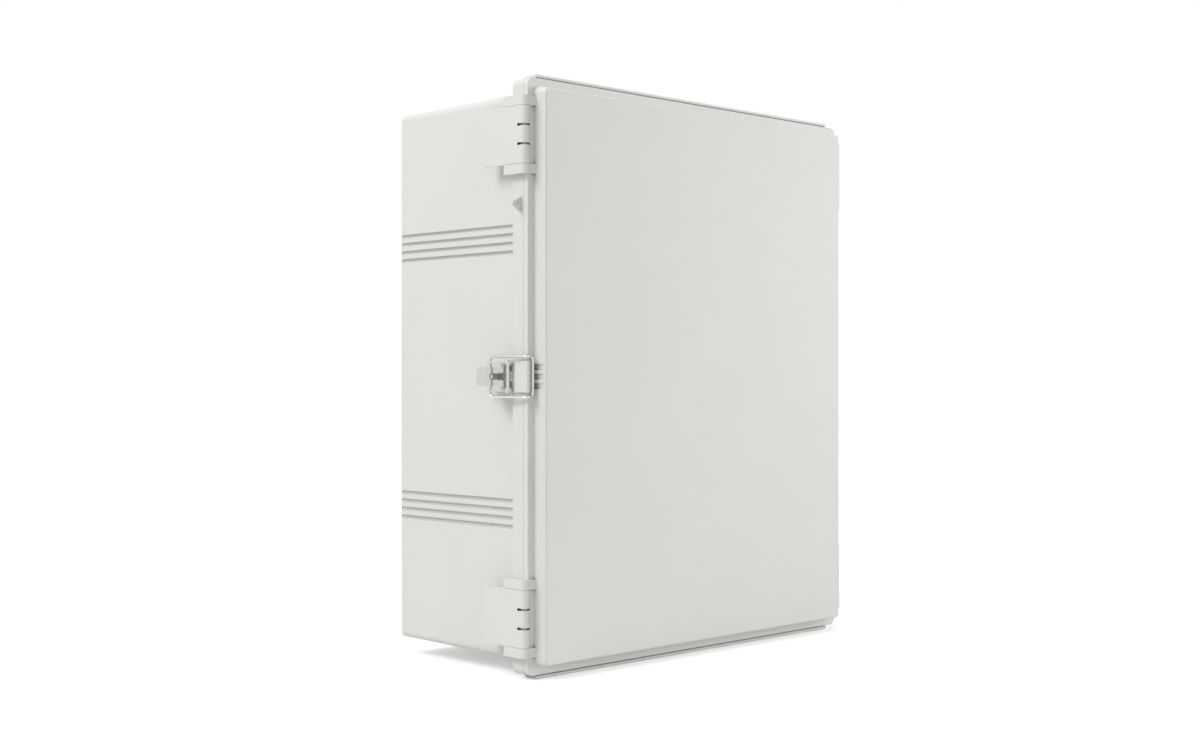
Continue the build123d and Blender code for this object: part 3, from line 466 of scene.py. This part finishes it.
def wire_steel(finish):
    """Drawn wire: fine lines along the wire, on the loop's own map."""
    material, nodes = new_material("wire_steel")
    along = nodes.add("ShaderNodeUVMap", {"uv_map": "surface"}).outputs[0]
    stretched = nodes.add("ShaderNodeMapping", None, {"Vector": along, "Scale": WIRE_LINES})
    lines = nodes.noise(stretched.outputs[0], 1, detail=3)
    nodes.surface(
        Base_Color=nodes.tint(lines, *tones(finish.colour, WIRE_TONES)),
        Metallic=1.0,
        Roughness=between(WIRE_SPREAD, lines, finish.roughness))
    return material


def galvanised_steel(finish):
    """Zinc coat with crystals, each of its own tone and gloss."""
    material, nodes = new_material("galvanised_steel")
    where = nodes.place()
    crystals = nodes.add(
        "ShaderNodeTexVoronoi", None, {"Vector": where, "Scale": 1 / finish.spangle})
    tone = nodes.value("ShaderNodeSeparateColor", 0, None, {0: crystals.outputs["Color"]})
    grain = nodes.noise(where, PLATE_GRAIN_SCALE, detail=3)
    nodes.surface(
        Base_Color=nodes.tint(tone, *tones(finish.colour, PLATE_TONES)),
        Metallic=1.0,
        Roughness=between(PLATE_ROUGHNESS, tone),
        Normal=nodes.bump(grain, PLATE_GRAIN_HEIGHT, PLATE_GRAIN_STRENGTH))
    return material


def turned_brass():
    """Brass with fine rings from turning, read along the depth of the insert."""
    material, nodes = new_material("insert_brass")
    rings = nodes.noise(nodes.place(BRASS_LINES), 1)
    nodes.surface(
        Base_Color=nodes.tint(rings, BRASS_DARK, BRASS_LIGHT),
        Metallic=1.0,
        Roughness=between(BRASS_ROUGHNESS, rings))
    return material


def seal_foam(finish):
    """Closed-cell foam: dark and matt, with small cells."""
    material, nodes = new_material("gasket_foam")
    where = nodes.place()
    cells = nodes.value(
        "ShaderNodeTexVoronoi", "Distance", None, {"Vector": where, "Scale": FOAM_CELL_SCALE})
    nodes.surface(
        Base_Color=nodes.tint(cells, *tones(finish.colour, FOAM_TONES)),
        Roughness=between(FOAM_ROUGHNESS, nodes.noise(where, FOAM_PATCH_SCALE)),
        Normal=nodes.bump(cells, FOAM_CELL_HEIGHT, FOAM_CELL_STRENGTH))
    return material


def give(material, *names):
    """Gives nodes of the frame one material."""
    for name in names:
        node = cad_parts[name]
        node.data.materials.clear()
        node.data.materials.append(material)


# Surfaces on a grid

def new_object(name, data):
    """An object in the scene that shows this mesh, light or camera."""
    made = bpy.data.objects.new(name, data)
    bpy.context.scene.collection.objects.link(made)
    return made


def grid_piece(name, rings, material, body, closed, replaced):
    """A mesh of rings of points: point (i, j) is ring i at turn j, and every ring closes on itself.

    The last ring joins the first where closed is set; otherwise a middle point closes each end.
    """
    count, turns = rings.shape[:2]
    i, j = np.meshgrid(np.arange(count if closed else count - 1), np.arange(turns), indexing="ij")
    after_i, after_j = (i + 1) % count, (j + 1) % turns
    quads = np.stack(
        [i * turns + j, i * turns + after_j, after_i * turns + after_j, after_i * turns + j], axis=-1)
    points = rings.reshape(-1, 3)
    faces = quads.reshape(-1, 4).tolist()
    if not closed:
        around = np.arange(turns)
        following = (around + 1) % turns
        first, last = count * turns, count * turns + 1
        points = np.vstack([points, rings[0].mean(0), rings[-1].mean(0)])
        start = np.stack([np.full(turns, first), following, around], axis=-1)
        top = (count - 1) * turns
        end = np.stack([np.full(turns, last), top + around, top + following], axis=-1)
        faces += start.tolist() + end.tolist()
    mesh = bpy.data.meshes.new(name)
    mesh.from_pydata(points.tolist(), [], faces)
    if signed_volume(mesh) < 0:
        mesh.flip_normals()
    lay_map(mesh, count, turns)
    mesh.shade_smooth()
    mesh.set_sharp_from_angle(angle=SHARP_EDGE)
    mesh.materials.append(material)
    piece = new_object(name, mesh)
    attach(piece, body)
    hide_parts(*replaced)


def signed_volume(mesh):
    """Sum over the triangles of a dot (b cross c) / 6: negative where the faces point inwards."""
    mesh.calc_loop_triangles()
    corners = np.empty(len(mesh.loop_triangles) * 3, dtype=np.int32)
    mesh.loop_triangles.foreach_get("vertices", corners)
    points = np.empty(len(mesh.vertices) * 3, dtype=np.float64)
    mesh.vertices.foreach_get("co", points)
    a, b, c = points.reshape(-1, 3)[corners.reshape(-1, 3)].transpose(1, 0, 2)
    return float((a * np.cross(b, c)).sum() / 6)


def lay_map(mesh, count, turns):
    """UV map named surface: u is the ring's share of the way, v the turn's share of the round."""
    loops = np.empty(len(mesh.loops), dtype=np.int32)
    mesh.loops.foreach_get("vertex_index", loops)
    loops = np.minimum(loops, count * turns - 1)
    across = np.stack([loops // turns / count, loops % turns / turns], axis=-1)
    layer = mesh.uv_layers.new(name="surface")
    layer.data.foreach_set("uv", across.astype(np.float32).ravel())


def unit(vectors):
    """Vectors divided by their own length."""
    return vectors / np.linalg.norm(vectors, axis=-1, keepdims=True)


def full_turn(steps):
    """Even angles all the way round, from 0 to one step short of a full turn."""
    return np.linspace(0, 2 * np.pi, steps, endpoint=False)


def bent_path(corners, radius, steps):
    """Centre line of a closed wire: a round bend at each corner, straight between the bends.

    A bend runs between two points at radius * tan(half its turn) from the corner. Its centre lies
    on the corner's inner bisector at radius / cos(half the turn). The points swing about it evenly.
    """
    arriving = unit(corners - np.roll(corners, 1, axis=0))
    leaving = unit(np.roll(corners, -1, axis=0) - corners)
    turn = np.arccos(np.clip((arriving * leaving).sum(-1, keepdims=True), -1, 1))
    centre = corners + unit(leaving - arriving) * radius / np.cos(turn / 2)
    first = corners - arriving * radius * np.tan(turn / 2) - centre
    swing = (np.linspace(0, 1, steps)[None, :] * turn)[..., None]
    points = centre[:, None] + np.cos(swing) * first[:, None] + np.sin(swing) * arriving[:, None] * radius
    tangents = -np.sin(swing) * unit(first)[:, None] + np.cos(swing) * arriving[:, None]
    return points.reshape(-1, 3), tangents.reshape(-1, 3)


def tube(points, tangents, radius, turns):
    """Round tube: each ring is centre + radius * (cos a * n + sin a * b).

    n is the part of a fixed slanting direction that is square to the wire, and b is tangent x n.
    The wire never runs along that direction, so the rings never flip.
    """
    slant = unit(np.array([1.0, 1.0, 1.0]))
    normal = unit(slant - (tangents @ slant)[:, None] * tangents)
    binormal = np.cross(tangents, normal)
    angle = full_turn(turns)[None, :, None]
    spokes = np.cos(angle) * normal[:, None] + np.sin(angle) * binormal[:, None]
    return points[:, None] + radius * spokes


def frame_path(half_width, half_height, corner, steps):
    """Rounded rectangle in X and Z: points, and the outward direction at each.

    A corner's points are its centre + its radius * (cos a, sin a), over a quarter of a turn.
    """
    centres = np.array([[1, 1], [-1, 1], [-1, -1], [1, -1]]) * (half_width - corner, half_height - corner)
    start = np.array([0, 1, 2, 3])[:, None] * np.pi / 2
    angle = start + np.linspace(0, np.pi / 2, steps)[None, :]
    outward = np.stack([np.cos(angle), np.sin(angle)], axis=-1)
    points = centres[:, None] + corner * outward
    return points.reshape(-1, 2), outward.reshape(-1, 2)


def signed_power(wave, power):
    """Size of a wave raised to a power, with its sign kept."""
    return np.sign(wave) * np.abs(wave) ** power


def strip_rings(path, outward, middle_y, width, thick, dent):
    """Foam strip carried round a path: a section of across along the outward direction and depth in Y.

    across is half the width * cos a and depth is half the thickness * sin a. Each wave is raised to a
    small power with its sign kept, which draws the round section out towards a square. The side
    towards the base is pressed in by dent * e to the power of -(across / dent width) squared.
    """
    angle = full_turn(STRIP_TURNS)
    across = width / 2 * signed_power(np.cos(angle), STRIP_POWER)
    depth = thick / 2 * signed_power(np.sin(angle), STRIP_POWER)
    pressed = dent * np.exp(-(across / (DENT_SHARE * width)) ** 2) * (np.sin(angle) > 0)
    rings = np.empty((len(path), len(angle), 3))
    rings[..., 0] = path[:, :1] + outward[:, :1] * across
    rings[..., 1] = middle_y + depth - pressed
    rings[..., 2] = path[:, 1:] + outward[:, 1:] * across
    return rings


def turned(profile, turns, radius_at=None):
    """Rings turned about an axis from (radius, height) pairs: (r cos a, r sin a, height).

    Where radius_at is given, it works out r from the radius, the height and the angle a.
    """
    angle = full_turn(turns)
    radius = np.repeat(profile[:, :1], turns, axis=1)
    height = np.repeat(profile[:, 1:], turns, axis=1)
    if radius_at is not None:
        radius = radius_at(radius, height, angle[None, :])
    return np.stack([radius * np.cos(angle), radius * np.sin(angle), height], axis=-1)


def dome(radius, height, steps):
    """Quarter of an ellipse from the pole out: r = radius sin a, h = height cos a."""
    angle = np.linspace(np.pi / (2 * steps), np.pi / 2, steps)
    return np.stack([radius * np.sin(angle), height * np.cos(angle)], axis=-1)


def screw_rings(head_radius, head_height, shank_radius, shank_length, socket, socket_depth, shape):
    """A screw pointing down: socket, domed head and threaded shank, from the socket's floor out.

    Within the socket the radius is that of a hexagon: flat / cos(angle from the middle of a side).
    On the shank it is the shank's less a saw of height and angle, which makes the thread a helix.
    The saw grows evenly from nothing over the first pitches under the head.
    """
    head = dome(head_radius, head_height, SCREW_HEAD_STEPS)
    head = head[head[:, 0] > socket * DOME_FROM]
    inner = np.array([[socket, head_height - socket_depth], [socket, head_height * SOCKET_TOP]])
    lip = np.array([[socket * LIP_WIDTH, head[0, 1] + LIP_RISE]])
    steps = int(shank_length / shape.pitch * THREAD_STEPS)
    down = np.linspace(0, -shank_length, steps)
    shank = np.stack([np.full(steps, shank_radius), down], axis=-1)
    point = np.array([[shank_radius * POINT_WIDTH, -shank_length - shank_radius * POINT_LENGTH]])
    profile = np.vstack([inner, lip, head, shank, point])

    def radius_at(radius, height, angle):
        side = (angle + np.pi / 6) % (np.pi / 3) - np.pi / 6
        hexagon = socket * np.cos(np.pi / 6) / np.cos(side)
        saw = (height / shape.pitch + angle / (2 * np.pi)) % 1.0
        thread = shape.depth * np.abs(2 * saw - 1)
        fade = np.clip(-height / (THREAD_FADE * shape.pitch), 0, 1)
        in_socket = (radius <= socket * SOCKET_REACH) & (height > 0)
        return np.where(in_socket, hexagon, radius - thread * fade * (height < 0))

    return turned(profile, ROUND_TURNS, radius_at)


# Operators

class ENCLOSURE_OT_moulded_parts(bpy.types.Operator):
    """Give the base, the door and the latch flaps their plastic"""
    bl_idname = "enclosure.moulded_parts"
    bl_label = "Moulded parts"

    def execute(self, context):
        give(moulded_plastic(context.scene.enclosure_moulded), *MOULDED)
        return {"FINISHED"}


class ENCLOSURE_OT_steel_parts(bpy.types.Operator):
    """Give the lever, the bracket, the pins, the plate and the inserts their metals"""
    bl_idname = "enclosure.steel_parts"
    bl_label = "Metal parts"

    def execute(self, context):
        steel = context.scene.enclosure_steel
        give(drawn_steel(steel, "sheet_steel", SHEET_LINES), *SHEET_STEEL)
        give(drawn_steel(steel, "pin_steel", PIN_LINES), *STEEL_PINS)
        give(galvanised_steel(context.scene.enclosure_plate), "mounting_plate")
        give(turned_brass(), *INSERTS)
        return {"FINISHED"}


class ENCLOSURE_OT_wire_loop(bpy.types.Operator):
    """Sweep the smooth wire loop of the draw latch"""
    bl_idname = "enclosure.wire_loop"
    bl_label = "Wire loop"

    def execute(self, context):
        shape = context.scene.enclosure_wire
        radius = shape.diameter / 2
        top = WIRE_HIGH[2] - radius
        rear = (WIRE_LOW[0] + radius, WIRE_HIGH[1] - radius)
        seat = (WIRE_HIGH[0] - radius, WIRE_LOW[1] + radius)
        shoulder = (seat[0] - WIRE_SHOULDER_IN, seat[1])
        corners = np.array([
            (*rear, -top), (*rear, top), (*shoulder, top), (*seat, top), (*seat, -top),
            (*shoulder, -top)])
        points, tangents = bent_path(corners, shape.bend, BEND_STEPS)
        grid_piece(
            "wire_loop", tube(points, tangents, radius, WIRE_TURNS),
            wire_steel(context.scene.enclosure_steel), "bail",
            closed=True, replaced=("wire_bail",))
        return {"FINISHED"}


class ENCLOSURE_OT_foam_seal(bpy.types.Operator):
    """Lay the foam strip in the door's channel, with the line that the tongue leaves"""
    bl_idname = "enclosure.foam_seal"
    bl_label = "Foam seal"

    def execute(self, context):
        shape = context.scene.enclosure_seal
        width, thick = shape.width, SEAL_HIGH[1] - SEAL_LOW[1]
        path, outward = frame_path(
            SEAL_HIGH[0] - width / 2, SEAL_HIGH[2] - width / 2, SEAL_CORNER, STRIP_BEND_STEPS)
        middle_y = (SEAL_LOW[1] + SEAL_HIGH[1]) / 2
        rings = strip_rings(path, outward, middle_y, width, thick, shape.dent)
        grid_piece(
            "foam_strip", rings, seal_foam(shape), "door",
            closed=True, replaced=("door_gasket",))
        return {"FINISHED"}


class ENCLOSURE_OT_rivet(bpy.types.Operator):
    """Turn the draw latch's rivet with its domed heads"""
    bl_idname = "enclosure.rivet"
    bl_label = "Rivet"

    def execute(self, context):
        centre, size = middle("draw_latch_pivot_pin"), span("draw_latch_pivot_pin")
        half, head = size[2] / 2, size[0] / 2
        cap = dome(head, RIVET_HEAD, RIVET_HEAD_STEPS)
        cap[:, 1] += half - RIVET_HEAD
        shank = np.array([[RIVET_SHANK, half - RIVET_HEAD], [RIVET_SHANK, RIVET_HEAD - half]])
        profile = np.vstack([cap, shank, cap[::-1] * (1, -1)])
        grid_piece(
            "rivet", turned(profile, ROUND_TURNS) + centre,
            drawn_steel(context.scene.enclosure_steel, "rivet_steel", RIVET_LINES),
            "base", closed=False, replaced=("draw_latch_pivot_pin",))
        return {"FINISHED"}


class ENCLOSURE_OT_screws(bpy.types.Operator):
    """Turn the screws with domed heads, sockets and threads"""
    bl_idname = "enclosure.screws"
    bl_label = "Screws"

    def execute(self, context):
        shape = context.scene.enclosure_screws
        steel = drawn_steel(context.scene.enclosure_steel, "screw_steel", SCREW_LINES)
        for names, head, shank, socket, socket_depth, along_depth in (
                (PLATE_SCREWS, PLATE_SCREW_HEAD, PLATE_SCREW_SHANK, PLATE_SCREW_SOCKET,
                    PLATE_SCREW_SOCKET_DEPTH, True),
                (LATCH_SCREWS, LATCH_SCREW_HEAD, LATCH_SCREW_SHANK, LATCH_SCREW_SOCKET,
                    LATCH_SCREW_SOCKET_DEPTH, False)):
            for name in names:
                low, high = (np.array(corner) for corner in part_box(name))
                centre, size = (low + high) / 2, high - low
                length = size[1] if along_depth else size[0]
                radius = size[0] / 2 if along_depth else size[1] / 2
                threaded = length - head - POINT_LENGTH * shank
                rings = screw_rings(radius, head, shank, threaded, socket, socket_depth, shape)
                x, y, z = rings[..., 0], rings[..., 1], rings[..., 2]
                if along_depth:
                    laid = np.stack([centre[0] + x, low[1] + head - z, centre[2] + y], axis=-1)
                else:
                    laid = np.stack([low[0] + head - z, centre[1] + x, centre[2] + y], axis=-1)
                grid_piece(
                    "turned_" + name, laid, steel, "base",
                    closed=False, replaced=(name,))
        return {"FINISHED"}


class ENCLOSURE_OT_stage(bpy.types.Operator):
    """Set out the floor, the soft lights, the dark cards, the white surround and the camera"""
    bl_idname = "enclosure.stage"
    bl_label = "Stage"

    def execute(self, context):
        stage = context.scene.enclosure_stage
        floor_z = CAD_BOX[0][2] - FLOOR_GAP
        lay_floor(floor_z, stage.surround)
        hang_light("front_light", FRONT_LIGHT_PLACE, FRONT_LIGHT_AIM, stage.key_power)
        hang_light("side_light", SIDE_LIGHT_PLACE, SIDE_LIGHT_AIM, stage.side_power)
        hang_light("top_light", TOP_LIGHT_PLACE, TOP_LIGHT_AIM, stage.top_power)
        for name, place in DARK_CARD_PLACES.items():
            stand_card(name, place, DARK_CARD_AIM, DARK_CARD_WIDTH)
        light_world(stage.surround)
        place_camera()
        context.scene.view_settings.view_transform = "Standard"
        return {"FINISHED"}


def grey(level):
    """Grey as a colour with its alpha."""
    return level, level, level, 1


def flat_square(name, half, material):
    """Square in the plane z = 0 about the origin, facing up."""
    mesh = bpy.data.meshes.new(name)
    mesh.from_pydata(
        [(-half, -half, 0), (half, -half, 0), (half, half, 0), (-half, half, 0)], [], [(0, 1, 2, 3)])
    mesh.materials.append(material)
    square = new_object(name, mesh)
    return square


def lay_floor(height, surround):
    """Pale floor that keeps the shadow near the object and turns to plain white further out.

    Near the object, part of its white is its own and part is taken from the light.
    """
    material, nodes = new_material("pale_floor")
    seen = nodes.seen()
    glow = nodes.add("ShaderNodeEmission", None, {"Strength": FLOOR_OWN_WHITE * seen})
    paint = nodes.add("ShaderNodeBsdfDiffuse", None, {"Color": grey(FLOOR_PAINT)})
    near = nodes.add("ShaderNodeAddShader", None, {0: glow.outputs[0], 1: paint.outputs[0]})
    far = nodes.add("ShaderNodeEmission", None, {"Strength": between((surround, 1), seen)})
    distance = nodes.value(
        "ShaderNodeVectorMath", "Value", {"operation": "LENGTH"}, {0: nodes.place()})
    share = nodes.ramp(distance, FLOOR_WHITE_FROM, FLOOR_WHITE_BY)
    both = nodes.add(
        "ShaderNodeMixShader", None, {0: share, 1: near.outputs[0], 2: far.outputs[0]})
    nodes.add("ShaderNodeOutputMaterial", None, {"Surface": both.outputs[0]})
    flat_square("floor", FLOOR_HALF, material).location.z = height


def facing(place, target):
    """Rotation that turns the local -Z axis from a place towards a target."""
    aim = unit(np.array(target, dtype=float) - np.array(place))
    return np.arccos(np.clip(-aim[2], -1, 1)), 0, np.arctan2(aim[0], -aim[1]) + np.pi


def hang_light(name, place, target, power):
    """Square soft light that faces a point."""
    light = bpy.data.lights.new(name, "AREA")
    light.energy = power
    light.size = LIGHT_WIDTH
    lamp = new_object(name, light)
    lamp.location = place
    lamp.rotation_euler = facing(place, target)


def stand_card(name, place, target, width):
    """Dark card that only gloss sees, so that bright metal gets a dark side."""
    material, nodes = new_material(name)
    paint = nodes.add("ShaderNodeBsdfDiffuse", None, {"Color": grey(CARD_PAINT)})
    nodes.add("ShaderNodeOutputMaterial", None, {"Surface": paint.outputs[0]})
    card = flat_square(name, width / 2, material)
    card.location = place
    card.rotation_euler = facing(place, target)
    card.visible_camera = False
    card.visible_diffuse = False
    card.visible_transmission = False
    card.visible_shadow = False


def light_world(strength):
    """White to the camera, to gloss and to glass; an even soft light for everything else."""
    world = bpy.data.worlds.new("surround")
    bpy.context.scene.world = world
    nodes = Nodes(world)
    seen = nodes.seen()
    back = nodes.add(
        "ShaderNodeBackground", None,
        {"Color": grey(1), "Strength": between((strength, 1), seen)})
    nodes.add("ShaderNodeOutputWorld", None, {"Surface": back.outputs[0]})


def place_camera():
    """Level camera that looks at the door and the latch side from 45 degrees between them."""
    camera = new_object("camera", bpy.data.cameras.new("camera"))
    camera.data.lens = CAMERA_LENS
    camera.location = CAMERA_PLACE
    camera.rotation_euler = CAMERA_TURN
    bpy.context.scene.camera = camera


OPERATORS = (
    ENCLOSURE_OT_moulded_parts, ENCLOSURE_OT_steel_parts, ENCLOSURE_OT_wire_loop,
    ENCLOSURE_OT_foam_seal, ENCLOSURE_OT_rivet, ENCLOSURE_OT_screws, ENCLOSURE_OT_stage)
PROPERTIES = {
    "enclosure_moulded": MouldedFinish,
    "enclosure_steel": SteelFinish,
    "enclosure_plate": PlateFinish,
    "enclosure_wire": WireLoop,
    "enclosure_seal": FoamSeal,
    "enclosure_screws": ScrewShape,
    "enclosure_stage": Stage,
}


class ENCLOSURE_PT_pieces(bpy.types.Panel):
    """Lists the sizes and colours of the enclosure, and a button for each piece"""
    bl_idname = "ENCLOSURE_PT_pieces"
    bl_label = "Enclosure"
    bl_space_type = "VIEW_3D"
    bl_region_type = "UI"
    bl_category = "Enclosure"

    def draw(self, context):
        for name, group in PROPERTIES.items():
            box = self.layout.box()
            for key in group.__annotations__:
                box.prop(getattr(context.scene, name), key)
        for operator in OPERATORS:
            self.layout.operator(operator.bl_idname)


CLASSES = (*PROPERTIES.values(), *OPERATORS, ENCLOSURE_PT_pieces)


def register():
    for group in CLASSES:
        bpy.utils.register_class(group)
    for name, group in PROPERTIES.items():
        setattr(bpy.types.Scene, name, PointerProperty(type=group))


def unregister():
    for name in PROPERTIES:
        delattr(bpy.types.Scene, name)
    for group in reversed(CLASSES):
        bpy.utils.unregister_class(group)


def main():
    """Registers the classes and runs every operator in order."""
    register()
    for operator in OPERATORS:
        family, action = operator.bl_idname.split(".")
        result = getattr(getattr(bpy.ops, family), action)()
        if "FINISHED" not in result:
            raise RuntimeError(operator.bl_idname + " didn't finish")


if __name__ == "__main__":
    main()
